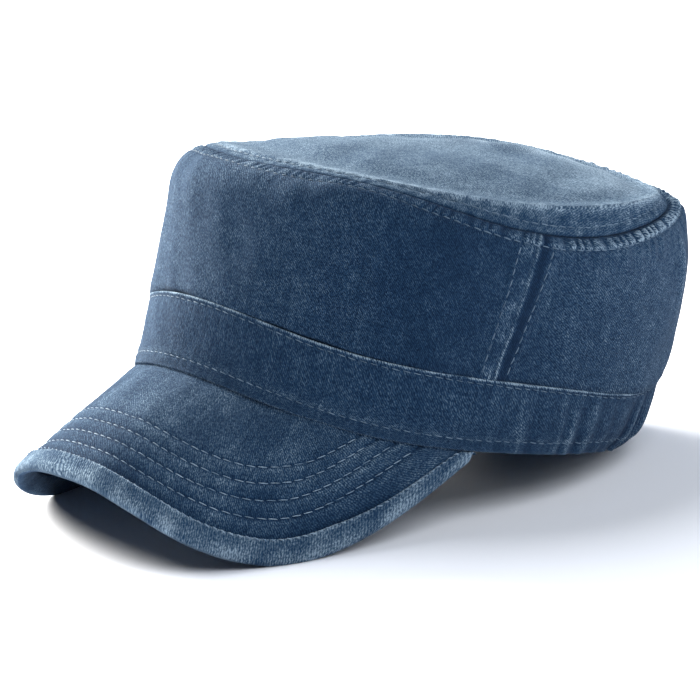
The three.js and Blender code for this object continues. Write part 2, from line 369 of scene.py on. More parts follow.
def band_base(angle, level):
    section = section_at(BAND, level)
    tuck = section[..., TUCK] * smoothstep(from_front(angle), *TUCK_ARC)
    return pulled_in(oval(section, angle), tuck)


def crown_base(angle, level):
    section = section_at(CROWN, level)
    points = oval(section, angle)
    points[..., 2] += section[..., RISE] * np.maximum(0, -np.sin(angle + RISE_TURN)) ** 2
    return points


def top_base(angle, way):
    """way is 0 at the rim seam, 1 at the crest and 2 at the centre of the top."""
    rim = crown_base(angle, RIM_SEAM + np.minimum(way, 1))
    out = np.clip(2 - way, 0, 1)[..., None]
    dome = TOP_CENTRE + (rim - TOP_CENTRE) * np.concatenate([out, out, out ** DOME_POWER], axis=-1)
    return np.where((way > 1)[..., None], dome, rim)


def visor_joint(side):
    """Where the visor meets the band. side is -1 and 1 at the visor's ends."""
    foot = pulled_in(band_base(side * VISOR_END, np.zeros_like(side)), JOINT_INSET)
    foot[..., 2] -= lerp(*JOINT_DROP, np.sin(side * math.pi / 2) ** 2)
    return foot


def visor_edge(side):
    """The free edge: an oval in plan that dips from its front to its corners and climbs to the band."""
    end = visor_joint(np.array([1.0]))[0]
    angle = np.abs(side) * math.pi / 2
    across = np.sin(angle) ** (2 / EDGE_ACROSS)
    along = np.maximum(np.cos(angle), 0) ** (2 / EDGE_ALONG)
    half = end[0] + VISOR_FLARE * np.sin(2 * angle) ** 2
    arch = 0.5 + 0.5 * np.cos(math.pi * np.clip(angle / VISOR_CORNER, 0, 1))
    climb = np.clip((angle - VISOR_CORNER) / (math.pi / 2 - VISOR_CORNER), 0, 1) ** 2
    height = lerp(VISOR_CORNER_HEIGHT, VISOR_FRONT_HEIGHT, arch) + (end[2] - VISOR_CORNER_HEIGHT) * climb
    return np.stack([np.sign(side) * half * across, lerp(end[1], -VISOR_FRONT, along), height], axis=-1)


def visor_length(side):
    return np.linalg.norm(visor_edge(side) - visor_joint(side), axis=-1)


def visor_base(side, inward):
    """Middle of the visor's board, inward millimetres from the free edge on the line to the band."""
    joint, edge = visor_joint(side), visor_edge(side)
    s = (inward / np.linalg.norm(edge - joint, axis=-1))[..., None]
    lift = np.array([0, 0, 4 * VISOR_BULGE])
    return edge + (joint - edge) * s + lift * s * (1 - s)


def normals(surface, u, v, du=0.002, dv=0.004, least=1e-9):
    beside = surface(u + du, v) - surface(u - du, v)
    above = surface(u, v + dv) - surface(u, v - dv)
    normal = np.cross(beside, above)
    size = np.linalg.norm(normal, axis=-1, keepdims=True)
    return np.where(size > least, normal / np.maximum(size, least), np.array([0, 0, 1.0]))


def placed(points):
    """Cap frame in millimetres to the row frame in metres, pressed flat where it meets the floor."""
    c, s = math.cos(REST_TILT), math.sin(REST_TILT)
    x, y, z = np.moveaxis(points, -1, 0)
    height = np.maximum(-y * s + z * c + REST_LIFT, 0)
    return np.stack([x, y * c + z * s + REST_SHIFT, height], axis=-1) / METRE


# Materials

def node(tree, kind, inputs=(), **settings):
    made = tree.nodes.new(kind)
    for key, value in settings.items():
        setattr(made, key, value)
    for key, value in dict(inputs).items():
        if isinstance(value, bpy.types.NodeSocket):
            tree.links.new(value, made.inputs[key])
        else:
            made.inputs[key].default_value = value
    return made


def math_node(tree, operation, a, b=0.0, c=0.0):
    return node(tree, "ShaderNodeMath", {0: a, 1: b, 2: c}, operation=operation).outputs[0]


def noise_node(tree, vector, scale, stretch=(1, 1, 1), detail=2.0, rough=0.5):
    mapped = node(tree, "ShaderNodeMapping", {"Vector": vector, "Scale": stretch})
    made = node(tree, "ShaderNodeTexNoise", {"Vector": mapped.outputs[0], "Scale": scale, "Detail": detail,
                                             "Roughness": rough})
    return made.outputs["Fac"]


def ramp_node(tree, value, stops):
    """A colour ramp through stops of position and colour."""
    made = node(tree, "ShaderNodeValToRGB", {0: value})
    elements = made.color_ramp.elements
    elements[0].position, elements[1].position = stops[0][0], stops[-1][0]
    for position, _ in stops[1:-1]:
        elements.new(position)
    for element, (_, colour) in zip(elements, stops):
        element.color = (*colour, 1)
    return made.outputs[0]


def new_material(name, settings):
    material = bpy.data.materials.new(name)
    material.use_nodes = True
    tree = material.node_tree
    shader = tree.nodes["Principled BSDF"]
    for key, value in settings.items():
        shader.inputs[key].default_value = value
    return material, tree, shader


def twill_material(name, tone=0.0, slub=0.3, lean=1.0, contrast=1.0):
    """Washed twill: tone lightens it, slub streaks it along the warp, lean slants its wales."""
    material, tree, shader = new_material(name, CLOTH_SHADER)
    uv = node(tree, "ShaderNodeUVMap", uv_map="cloth").outputs[0]
    wear_and_light = node(tree, "ShaderNodeAttribute", attribute_name="wear_and_light").outputs["Fac"]
    flat = node(tree, "ShaderNodeSeparateXYZ", {0: uv})
    wobble = math_node(tree, "MULTIPLY", noise_node(tree, uv, scale=60, detail=1), WALE_WOBBLE)
    across = math_node(tree, "MULTIPLY_ADD", flat.outputs[0], UV_UNIT / TWILL_PITCH, wobble)
    slope = math_node(tree, "MULTIPLY", flat.outputs[1], UV_UNIT * lean / TWILL_PITCH)
    phase = math_node(tree, "MULTIPLY", math_node(tree, "ADD", across, slope), 2 * math.pi)
    wale = math_node(tree, "MULTIPLY_ADD", math_node(tree, "SINE", phase), 0.5, 0.5)
    grain = noise_node(tree, uv, scale=118, stretch=(1, 0.85, 1), detail=2, rough=0.62)
    streak = noise_node(tree, uv, scale=70, stretch=(1, 0.09, 1), detail=2)
    mottle = noise_node(tree, uv, scale=26, detail=2)
    blotch = noise_node(tree, uv, scale=7.5, detail=4, rough=0.6)
    patch = noise_node(tree, uv, scale=2.2, detail=2)

    def around(value, amount):
        return math_node(tree, "MULTIPLY", math_node(tree, "SUBTRACT", value, 0.5), amount * contrast)

    fade = math_node(tree, "ADD", around(blotch, BLOTCH_FADE), around(patch, PATCH_FADE))
    fade = math_node(tree, "ADD", fade, around(mottle, MOTTLE_FADE))
    fade = math_node(tree, "ADD", fade, math_node(tree, "MINIMUM", around(grain, GRAIN_FADE), GRAIN_LIGHTEST))
    fade = math_node(tree, "ADD", fade, around(streak, slub))
    fade = math_node(tree, "ADD", fade, around(wale, WALE_FADE))
    fade = math_node(tree, "ADD", fade, math_node(tree, "MULTIPLY_ADD", wear_and_light, WEAR_AND_LIGHT_FADE, BASE_FADE + tone))
    woven = math_node(tree, "MULTIPLY", wale, WALE_BUMP)
    height = math_node(tree, "ADD", woven, math_node(tree, "MULTIPLY", grain, GRAIN_BUMP))
    relief = node(tree, "ShaderNodeBump", {"Height": height, "Strength": 0.7, "Distance": 0.0004})
    tree.links.new(ramp_node(tree, fade, CLOTH_FADE), shader.inputs["Base Color"])
    tree.links.new(relief.outputs[0], shader.inputs["Normal"])
    return material


def thread_material(name, stops):
    material, tree, shader = new_material(name, THREAD_SHADER)
    place = node(tree, "ShaderNodeTexCoord").outputs["Object"]
    fade = noise_node(tree, place, scale=160, detail=2)
    twist = noise_node(tree, place, scale=2600, detail=1)
    relief = node(tree, "ShaderNodeBump", {"Height": twist, "Strength": 0.4, "Distance": 0.0001})
    tree.links.new(ramp_node(tree, fade, stops), shader.inputs["Base Color"])
    tree.links.new(relief.outputs[0], shader.inputs["Normal"])
    return material


# Meshes

def linked(name, data):
    made = bpy.data.objects.new(name, data)
    bpy.context.scene.collection.objects.link(made)
    return made


def smooth_mesh(name, points, faces, material):
    mesh = bpy.data.meshes.new(name)
    mesh.from_pydata(points.tolist(), [], faces)
    mesh.polygons.foreach_set("use_smooth", np.ones(len(mesh.polygons), dtype=bool))
    mesh.materials.append(material)
    return mesh


def quads(a, b, c, d):
    return np.stack([a, b, c, d], axis=-1).reshape(-1, 4)


def shell_object(name, outer, inner, uv, wear_and_light, closed, material):
    """One closed skin between two grids of points with the same rows and columns."""
    rows, columns = outer.shape[:2]
    index = np.arange(rows * columns).reshape(rows, columns)
    if closed:
        index = np.hstack([index, index[:, :1]])
    under = index + rows * columns
    faces = [
        quads(index[:-1, :-1], index[:-1, 1:], index[1:, 1:], index[1:, :-1]),
        quads(under[:-1, 1:], under[:-1, :-1], under[1:, :-1], under[1:, 1:]),
        quads(index[0, 1:], index[0, :-1], under[0, :-1], under[0, 1:]),
        quads(index[-1, :-1], index[-1, 1:], under[-1, 1:], under[-1, :-1]),
    ]
    if not closed:
        faces.append(quads(index[:-1, 0], index[1:, 0], under[1:, 0], under[:-1, 0]))
        faces.append(quads(index[1:, -1], index[:-1, -1], under[:-1, -1], under[1:, -1]))
    points = placed(np.concatenate([outer.reshape(-1, 3), inner.reshape(-1, 3)]))
    mesh = smooth_mesh(name, points, np.concatenate(faces).tolist(), material)
    corners = np.empty(len(mesh.loops), dtype=np.int32)
    mesh.loops.foreach_get("vertex_index", corners)
    spots = np.tile(uv.reshape(-1, 2), (2, 1))[corners] / UV_UNIT
    mesh.uv_layers.new(name="cloth").data.foreach_set("uv", spots.astype(np.float32).ravel())
    # The inner faces take painted shade
    faces_wear_and_light = np.concatenate([wear_and_light.ravel(), wear_and_light.ravel() - UNDERSIDE_SHADE])
    mesh.attributes.new("wear_and_light", "FLOAT", "POINT").data.foreach_set("value", faces_wear_and_light.astype(np.float32))
    return linked(name, mesh)


def run_lengths(points, axis):
    """Distance run along a grid of points, from its first row or column."""
    steps = np.linalg.norm(np.diff(points, axis=axis), axis=-1)
    start = np.zeros_like(np.take(steps, [0], axis=axis))
    return np.concatenate([start, np.cumsum(steps, axis=axis)], axis=axis)


def raised(surface, u, v, height):
    return surface(u, v) + normals(surface, u, v) * height[..., None]


def lining(surface, u, v, height, cloth):
    """The inner face, which stays one cloth below the dents of the outer face."""
    return raised(surface, u, v, np.minimum(height, 0) - cloth)


# Gathers

def wander(run, seed):
    """How far a row of gathers strays from an even pitch, as an angle."""
    return drift(run, still(run), by=3, size=13, seed=seed)


def pucker(run, by, pitch, seed):
    """Irregular gathers along a sewn line."""
    stray = wander(run, seed)
    depth = patchy(run, still(run), mean=0.6, by=0.4, size=10, seed=seed + 1)
    turn = 2 * math.pi * run / pitch
    side_wave = PUCKER_SIDE_WAVE * np.cos(PUCKER_SIDE_PACE * turn - stray)
    return by * depth * (PUCKER_WAVE * np.cos(turn + stray) + side_wave)


def knobs(run, pitch, seed):
    """Round beads of cloth between the stitches of a gathered seam, with narrow gaps."""
    depth = patchy(run, still(run), mean=0.8, by=0.35, size=10, seed=seed + 1)
    turn = math.pi * run / pitch + wander(run, seed) / 2
    return depth * (BEAD_SWING * np.abs(np.cos(turn)) ** BEAD_ROUNDNESS - BEAD_GAP)


def rim_gather(angle):
    """How strongly the cloth is gathered into the rim seam: a little in front, much at the back."""
    back = from_front(angle)
    return RIM_GATHER + sum(more * smoothstep(back, start, end) for more, start, end in MORE_GATHERED)


# A painted highlight on the front corner of the wall and band
def lit_corner(angle):
    return bump(angle, at=LIT_CORNER, by=0.25, width=LIT_CORNER_WIDTH)


# Wall of the crown

def side_seam_angle(level):
    """The side seams lean back as they climb from the band to the rim."""
    foot, head = CROWN[BAND_EDGE, AT_SIDE], CROWN[RIM_SEAM, AT_SIDE]
    here = section_at(CROWN, np.asarray(level, dtype=float))[..., AT_SIDE]
    return lerp(SIDE_SEAM_FOOT, SIDE_SEAM_HEAD, np.clip((here - foot) / (head - foot), 0, 1))


def seam_stitch(drop):
    """Distance of the stitches from the side seam, which closes up towards the band."""
    return lerp(*SEAM_STITCH, np.clip(drop / WALL_HEIGHT, 0, 1))


def levels_below_seam(angle, drop):
    """Levels of the crown that lie some distance down the wall from the rim seam, for a row of angles."""
    fine = np.linspace(RIM_SEAM, 0, LEVEL_STEPS)
    grid_angle, grid_level = np.meshgrid(angle, fine)
    run = run_lengths(crown_base(grid_angle, grid_level), axis=0)
    found = [np.interp(drop[:, k], run[:, k], fine) for k in range(len(angle))]
    return np.stack(found, axis=1), run[-1]


def wall_slack(run, drop):
    """Shallow swells and dents, pulled flat at the rim seam."""
    slack = drift(run, drop, by=0.55, size=34, seed=3) + drift(run, drop, by=0.2, size=12, seed=4)
    return slack * smoothstep(drop, 0, 8)


def over_band(angle, level):
    """The wall swells out over the band's edge, and lies in under it where that edge rides up."""
    ride = RIDE_LEVELS * edge_ride(angle) / EDGE_RIDE
    swell = WALL_SWELL * plateau(level - ride, start=0.85, full=1.15, fall=1.3, end=2.2)
    under = smoothstep(level, BAND_EDGE, BAND_EDGE + 1) * (1 - smoothstep(level - ride, BAND_EDGE, 1.3))
    return swell - STEP * ride * under


def rim_strip(angle, drop):
    """Beads between the rim seam and its stitches, and puckers that hang from those stitches."""
    run = angle * MEAN_RADIUS
    gather = rim_gather(angle)
    beads = knobs(run, BEAD_PITCH, seed=21)
    strip = plateau(drop, start=0.1, full=1.0, fall=RIM_STITCH - 1.0, end=RIM_STITCH + 0.3)
    below = plateau(drop, start=RIM_STITCH, full=RIM_STITCH + 1.5, fall=8, end=17)
    hanging = below * pucker(run, by=0.5, pitch=7.2, seed=31)
    height = gather * (BEAD_HEIGHT * strip * (BEAD_LIFT + beads) + hanging)
    height -= bump(drop, at=RIM_STITCH, by=0.32, width=0.7)
    height -= bump(drop, at=0, by=lerp(0.2, 0.6, gather), width=0.8)
    wear_and_light = gather * strip * (BEAD_FADE + beads) - bump(drop, at=0, by=0.35, width=1.0)
    wear_and_light += bump(drop, at=RIM_STITCH - 0.9, by=0.3, width=0.7) * (0.3 + gather)
    return height, wear_and_light


def side_fold(angle, level, drop):
    """The side seam: cloth folded double as far as the stitches, rubbed pale on its front half."""
    run = angle * MEAN_RADIUS
    across = (from_front(angle) - side_seam_angle(level)) * SIDE_RADIUS
    beside = np.abs(across) - seam_stitch(drop)
    fold = 1 - smoothstep(beside, 0.4, 2.4)
    rubbed = patchy(drop, run, mean=0.75, by=0.3, size=6, seed=7)
    streak = patchy(drop, run, mean=0.5, by=0.6, size=5, seed=8)
    height = fold * (SEAM_FOLD + pucker(drop, by=0.12, pitch=6.5, seed=41))
    height -= bump(across, at=-0.3, by=0.25, width=0.45) + bump(beside, at=0, by=0.28, width=0.6)
    wear_and_light = bump(across, at=0.5, by=0.95, width=0.6) * rubbed
    wear_and_light += bump(across, at=-1.9, by=0.4, width=0.5) * streak
    wear_and_light += bump(across, at=-3.4, by=0.3, width=2.2) * fold * streak
    wear_and_light -= bump(across, at=3, by=0.75, width=1.7)
    return height, wear_and_light


def back_crease(run, drop):
    """A soft upright crease in the back of the wall, paler along its ridge both as worn cloth and as a
    painted highlight, with painted shade beside it.
    """
    reach = plateau(drop, start=5, full=18, fall=22, end=46)
    crease = bump(run - CREASE_LEAN * drop, at=CREASE_RUN, by=1, width=3) * reach
    shade = bump(run, at=CREASE_RUN + 11, by=0.2, width=6) * reach
    return CREASE_HEIGHT * crease, CREASE_FADE * crease - shade


def wall_fade_and_light(angle):
    back = from_front(angle)
    # Painted shade across the wall about 62 degrees from the front, where little light falls; the lit corner
    # adds a painted highlight
    shade = bump(back, at=62 * RAD, by=0.32, width=24 * RAD)
    return WALL_FADE + ramp(back, 85 * RAD, 130 * RAD, by=0.06) - shade + lit_corner(angle)


def wall_relief(angle, level, drop):
    run = angle * MEAN_RADIUS
    strip, fold, crease = rim_strip(angle, drop), side_fold(angle, level, drop), back_crease(run, drop)
    height = wall_slack(run, drop) + over_band(angle, level) + strip[0] + fold[0] + crease[0]
    return height, wall_fade_and_light(angle) + strip[1] + fold[1] + crease[1]


def wall_points(angle, level, drop):
    return raised(crown_base, angle, level, wall_relief(angle, level, drop)[0])


def wall_panel(name, round_back, columns, material):
    """columns are counted from the middle of the panel to where they close up beside the seam."""
    half = np.concatenate([np.linspace(0, SEAM_COLUMNS_FROM, columns),
                           np.linspace(SEAM_COLUMNS_FROM, 1, SEAM_COLUMNS)[1:]])
    share = np.concatenate([-half[:0:-1], half])

    def spread(seam):
        return math.pi + share * (math.pi - seam) if round_back else share * seam

    past = -1 if round_back else 1
    middle = spread(lerp(SIDE_SEAM_FOOT, SIDE_SEAM_HEAD, SEAM_MIDDLE))
    total = levels_below_seam(middle, np.zeros((1, len(share))))[1]
    lower = np.arange(1, LOWER_ROWS + 1)[:, None] / LOWER_ROWS
    drop = np.concatenate([np.repeat(RIM_ROWS[:, None], len(share), axis=1),
                           RIM_ROWS[-1] + lower * (total[None, :] - RIM_ROWS[-1] - FOOT_CLEARANCE)])[::-1]
    level = levels_below_seam(middle, drop)[0]
    seam = side_seam_angle(level)
    angle = spread(seam - past * SEAM_GAP)
    height, wear_and_light = wall_relief(angle, level, drop)
    outer = raised(crown_base, angle, level, height)
    inner = lining(crown_base, spread(seam + past * SEAM_TUCK), level, height, CROWN_CLOTH)
    uv = np.stack([angle * MEAN_RADIUS, -drop], axis=-1)
    return shell_object(name, outer, inner, uv, wear_and_light, False, material)


# Top

RIM_ANGLES = np.linspace(-math.pi, math.pi, 181)
RIM_LENGTHS = run_lengths(top_base(*np.meshgrid(RIM_ANGLES, np.linspace(0, 1, 9))), axis=0)[-1]


def rim_length(angle):
    """Length of the rolled rim from the seam to the crest."""
    return np.interp(angle, RIM_ANGLES, RIM_LENGTHS, period=2 * math.pi)


def rolled_edge(angle, way):
    """The rolled edge between the rim seam and the crest, gathered at the seam."""
    run = angle * MEAN_RADIUS
    rise = way * rim_length(angle)
    gather = rim_gather(angle)
    rolled = 1 - smoothstep(way, 0.9, 1.15)
    swell = ramp(rise, 0, 2.5, by=0.35) + pucker(run, by=0.15, pitch=3.4, seed=61)
    uneven = drift(run, 2 * rise, by=0.14, size=3.5, seed=64) + pucker(run, by=0.1, pitch=5, seed=66)
    height = rolled * (gather * swell + smoothstep(rise, 0, 2) * uneven)
    height -= bump(rise, at=TOP_STITCH, by=0.3, width=0.7)
    height -= bump(rise, at=0, by=lerp(0.2, 0.55, gather), width=0.8)
    shade = ROLLED_SHADE + ramp(from_front(angle), 35 * RAD, 80 * RAD, by=0.2)
    wear_and_light = rolled * drift(run, 2 * rise, by=0.14, size=4, seed=65) - bump(rise, at=0, by=0.4, width=0.9)
    return height, wear_and_light - shade * (1 - smoothstep(way, 0.75, 0.95))


def flat_top(angle, way):
    """The soft flat of the top, sunk inside its crest, with painted light that makes it paler towards the
    back.
    """
    x, y, _ = np.moveaxis(top_base(angle, way), -1, 0)
    inside = smoothstep(way, 1.0, 1.25)
    slack = drift(x, y, by=0.9, size=42, seed=51) + drift(x + 0.6 * y, 0.4 * y, by=0.4, size=15, seed=52)
    # Random paleness, and painted light that makes the top paler towards the back
    fade = drift(x, y, by=0.1, size=30, seed=63) + ramp(y, 10, 85, by=0.5)
    past_crest = np.maximum(way - 1, 0) * TOP_RADIUS
    return inside * slack - bump(past_crest, at=9, by=0.9, width=5) * (way > 1), inside * fade


def crest(angle, way):
    """The edge round the top, raised, and paler both as worn cloth and as a painted highlight along the
    crest.
    """
    run = angle * MEAN_RADIUS
    beside = (way - 1) * np.where(way < 1, rim_length(angle), TOP_RADIUS)
    edge = ridge(beside, CREST_WIDTH)
    return CREST_HEIGHT * edge, edge * patchy(run, still(run), mean=0.3, by=0.2, size=25, seed=62)


def top_relief(angle, way):
    reliefs = [relief(angle, way) for relief in (flat_top, rolled_edge, crest)]
    return sum(height for height, _ in reliefs), sum(wear_and_light for _, wear_and_light in reliefs)


def top_points(angle, way):
    return raised(top_base, angle, way, top_relief(angle, way)[0])


def top_panel(name, material):
    angle, way = np.meshgrid(np.linspace(-math.pi, math.pi, TOP_COLUMNS + 1)[:-1], TOP_WAYS)
    height, wear_and_light = top_relief(angle, way)
    outer = raised(top_base, angle, way, height)
    inner = lining(top_base, angle, way, height, CROWN_CLOTH)
    run = run_lengths(top_base(angle, way)[::-1], axis=0)[::-1]
    flat = np.stack([run * np.sin(angle), -run * np.cos(angle)], axis=-1)
    return shell_object(name, outer, inner, flat, wear_and_light, True, material)


# Band

def band_relief(angle, level):
    run = angle * MEAN_RADIUS
    up = level * MEAN_LEVEL
    above_foot_row = (level - BAND_FOOT_STITCH) * FOOT_LEVEL
    above_top_row = (level - BAND_TOP_STITCH) * TOP_LEVEL
    gathers = pucker(run, by=1, pitch=GATHER_PITCH, seed=73)
    gathered = smoothstep(from_front(angle), *GATHER_ARC) * (1 - (level / 2) ** 4)
    height = drift(run, up, by=0.3, size=26, seed=71) + drift(run, up * 2, by=0.12, size=8, seed=72)
    height -= GATHER_DEPTH * gathered * (1 + gathers)
    height -= bump(above_foot_row, at=0, by=0.26, width=0.7) + bump(above_top_row, at=0, by=0.26, width=0.6)
    height += pucker(run, by=0.12, pitch=4.6, seed=74) * ridge(above_foot_row, 3.2)
    height += ramp(level, 1.93, 1.97, by=0.15) - EDGE_TURN * smoothstep(level, 1.975, 2.01) ** 2
    height -= FOOT_TURN * (1 - smoothstep(level, 0.0, 0.07)) ** 2
    top_edge = patchy(run, still(run), mean=0.8, by=0.3, size=9, seed=75)
    wear_and_light = smoothstep(level, 1.94, 1.98) * top_edge + FOOT_FADE * (1 - smoothstep(level, 0.02, 0.12))
    # Painted shade in the dents of the gathers
    wear_and_light += bump(above_foot_row, at=1, by=0.25, width=0.8) - GATHER_SHADE * gathered * gathers
    return height, wear_and_light + lit_corner(angle)


def band_shape(angle, level):
    points = band_base(angle, level)
    points[..., 2] += edge_ride(angle) * smoothstep(level, 0.9, 2)
    return points


def band_points(angle, level):
    return raised(band_shape, angle, level, band_relief(angle, level)[0])


def band_ring(name, material):
    angle, level = np.meshgrid(np.linspace(-math.pi, math.pi, BAND_COLUMNS + 1)[:-1], BAND_LEVELS)
    height, wear_and_light = band_relief(angle, level)
    outer = raised(band_shape, angle, level, height)
    inner = lining(band_shape, angle, level, height, BAND_CLOTH)
    uv = np.stack([angle * MEAN_RADIUS, level * MEAN_LEVEL], axis=-1)
    return shell_object(name, outer, inner, uv, wear_and_light, True, material)


# Visor

def visor_normal(side, inward):
    return normals(visor_base, side, inward)


def taper_at(side):
    return lerp(1, END_TAPER, smoothstep(np.abs(side), TAPER_START, BINDING_REACH))


def edge_slope(side, step=0.002):
    """How squarely the lines from the free edge to the band leave that edge, as the sine of their angle."""
    along = visor_edge(side + step) - visor_edge(side - step)
    inwards = visor_joint(side) - visor_edge(side)
    area = np.linalg.norm(np.cross(along, inwards), axis=-1)
    return area / (np.linalg.norm(along, axis=-1) * np.linalg.norm(inwards, axis=-1))


def strip_slope(side):
    return np.maximum(edge_slope(side), LEAST_SLOPE)


def square_in(side, distance):
    """How far in, along the lines to the band, a strip of one width reaches from the free edge."""
    return distance / strip_slope(side)


def row_scale(side):
    """Share of a row's distance from the free edge, which the rows leave slowly towards their ends."""
    return edge_slope(side) / (1 + ROW_SPREAD * side ** 2)


def row_fan(side):
    return ROW_FAN * np.maximum(np.abs(side) - FAN_START, 0) ** 2


def row_place(side, inward):
    """Which row, as a distance from the free edge at the front, passes a spot on the visor."""
    fan = row_fan(side)
    return (inward * row_scale(side) + VISOR_ROWS[0] * fan) / (1 + fan)


def row_depth(side, row):
    return (row + (row - VISOR_ROWS[0]) * row_fan(side)) / row_scale(side)


def visor_relief(side, inward):
    run = side * VISOR_RUN
    place = row_place(side, inward)
    past_binding = inward * strip_slope(side) - BINDING_WIDTH
    height = drift(run, inward, by=0.25, size=30, seed=81) + drift(run, inward, by=0.1, size=9, seed=82)
    wear_and_light = drift(run, inward, by=0.12, size=16, seed=83) + ramp(place, 22, 40, by=0.1)
    # Painted shadow along the inner edge of the binding, where it overlaps the visor
    wear_and_light -= bump(place, at=11, by=0.06, width=3.5) + bump(past_binding, at=0.4, by=0.32, width=1.2)
    for row in VISOR_ROWS:
        height += bump(place, at=row - 2.5, by=0.12, width=1.8) - bump(place, at=row, by=0.38, width=0.7)
        # Painted highlight on the swell beside each row and painted shadow in its groove
        wear_and_light += bump(place, at=row - 1.6, by=0.16, width=1.1) - bump(place, at=row, by=0.42, width=0.65)
    return height, wear_and_light


def off_visor(side, inward, above):
    return visor_base(side, inward) + visor_normal(side, inward) * (above * taper_at(side))[..., None]


def visor_points(side, inward):
    return off_visor(side, inward, VISOR_BOARD / 2 + visor_relief(side, inward)[0])


def sewn_under_band(grid):
    """The visor's sewn edge goes on up behind the band."""
    return np.concatenate([grid, pulled_in(grid[-1:], SEWN_IN) + np.array([0, 0, SEWN_UP])])


def visor_board(name, material):
    side, share = np.meshgrid(np.linspace(-VISOR_REACH, VISOR_REACH, VISOR_COLUMNS),
                              np.linspace(0, 1, VISOR_ACROSS))
    inward = lerp(VISOR_START, visor_length(side), share)
    height, wear_and_light = visor_relief(side, inward)
    outer = sewn_under_band(off_visor(side, inward, VISOR_BOARD / 2 + height))
    inner = sewn_under_band(off_visor(side, inward, np.full_like(side, -VISOR_BOARD / 2)))
    uv = np.stack([side * VISOR_RUN, inward], axis=-1)
    uv = np.concatenate([uv, uv[-1:] + np.array([0, SEWN_RUN])])
    return shell_object(name, outer, inner, uv, np.concatenate([wear_and_light, wear_and_light[-1:]]), False, material)


def visor_binding(name, material):
    """A strip folded round the free edge: its lower leg, its turn and its upper leg."""
    inside_half = VISOR_BOARD / 2 + GAP
    outside_half = inside_half + BINDING_CLOTH
    leg_in = outside_half + (BINDING_WIDTH - outside_half) * FOLD_LEGS
    flat = np.ones_like(FOLD_LEGS)
    sides = np.linspace(-BINDING_REACH, BINDING_REACH, BINDING_COLUMNS)

    def over_grid(profile):
        return np.repeat(profile[:, None], len(sides), axis=1)

    curl = over_grid(np.concatenate([FOLD_LEGS, np.zeros_like(FOLD_TURNS), FOLD_LEGS[::-1]]))
    side = np.repeat(sides[None, :], len(curl), axis=0)
    run = side * VISOR_RUN

    def sheet(half):
        inward = over_grid(np.concatenate([leg_in, outside_half - half * np.cos(FOLD_TURNS), leg_in[::-1]]))
        above = over_grid(half * np.concatenate([-flat, np.sin(FOLD_TURNS), flat]))
        return np.minimum(square_in(side, inward), visor_length(side) - END_CLEARANCE), above

    inward, above = sheet(outside_half)
    swell = drift(run, above * FOLD_STRETCH, by=0.22, size=16, seed=91) - ramp(curl, 0.9, 1.0, by=0.55)
    swell += pucker(run, by=0.14, pitch=3.6, seed=92) * smoothstep(curl, 0.5, 1)
    wear_and_light = BINDING_FADE * (1 - smoothstep(curl, 0, 0.5)) + ramp(curl, 0.84, 0.97, by=0.35)
    # The lower leg, under the visor, is painted darker as shade
    wear_and_light += drift(run, inward, by=0.15, size=9, seed=93) - ramp(-above, 0.5, 1.5, by=0.6)
    uv = np.stack([run, inward + LEGS_APART * np.sign(above)], axis=-1)
    outer = off_visor(side, inward, above + np.sign(above) * swell)
    return shell_object(name, outer, off_visor(side, *sheet(inside_half)), uv, wear_and_light, False, material)


# Thread

def tube_faces(first, rings, around):
    """Sides of a tube whose rings of points follow one another from point first on."""
    faces = []
    for i in range(rings - 1):
        for j in range(around):
            a = first + i * around + j
            b = first + i * around + (j + 1) % around
            faces.append((a, b, b + around, a + around))
    return faces


def ring_turns(around):
    return np.arange(around) * 2 * math.pi / around


def stitched(points, out, pitch=4.0, share=0.8, radius=0.22, slant=0.14, seed=1):
    """Stitches laid along a dense row of points: short capsules whose ends dip into the cloth."""
    run = run_lengths(points[None], axis=1)[0]
    random = np.random.default_rng(seed)
    rings, around = len(STITCH_GIRTH), 6
    along = np.linspace(0, 1, rings)
    turns = ring_turns(around)
    vertices, faces = [], []
    for k in range(int(run[-1] // pitch)):
        start = (k + 0.5 * (1 - share)) * pitch + random.uniform(-VARY_START, VARY_START)
        at = start + along * pitch * share * random.uniform(1 - VARY_LENGTH, 1 + VARY_LENGTH)
        middle = np.stack([np.interp(at, run, points[:, axis]) for axis in range(3)], axis=-1)
        normal = np.stack([np.interp(at, run, out[:, axis]) for axis in range(3)], axis=-1)
        ahead = np.gradient(middle, axis=0)
        ahead = ahead / np.linalg.norm(ahead, axis=-1, keepdims=True)
        across = np.cross(ahead, normal)
        aside = random.uniform(-VARY_ASIDE, VARY_ASIDE) + slant * (2 * along - 1)
        centre = middle + normal * STITCH_LIFT[:, None] + across * aside[:, None]
        reach = radius * STITCH_GIRTH * random.uniform(1 - VARY_GIRTH, 1 + VARY_GIRTH)
        ring = np.cos(turns)[None, :, None] * normal[:, None] + np.sin(turns)[None, :, None] * across[:, None]
        body = (centre[:, None] + ring * reach[:, None, None]).reshape(-1, 3)
        first = len(vertices) * (rings * around + 2)
        tips = [centre[0] - ahead[0] * STITCH_TIP, centre[-1] + ahead[-1] * STITCH_TIP]
        vertices.append(np.vstack([body, *tips]))
        faces.extend(tube_faces(first, rings, around))
        end = first + (rings - 1) * around
        tip, tail = end + around, end + around + 1
        for j in range(around):
            faces.append((tip, first + (j + 1) % around, first + j))
            faces.append((tail, end + j, end + (j + 1) % around))
    return np.concatenate(vertices), faces


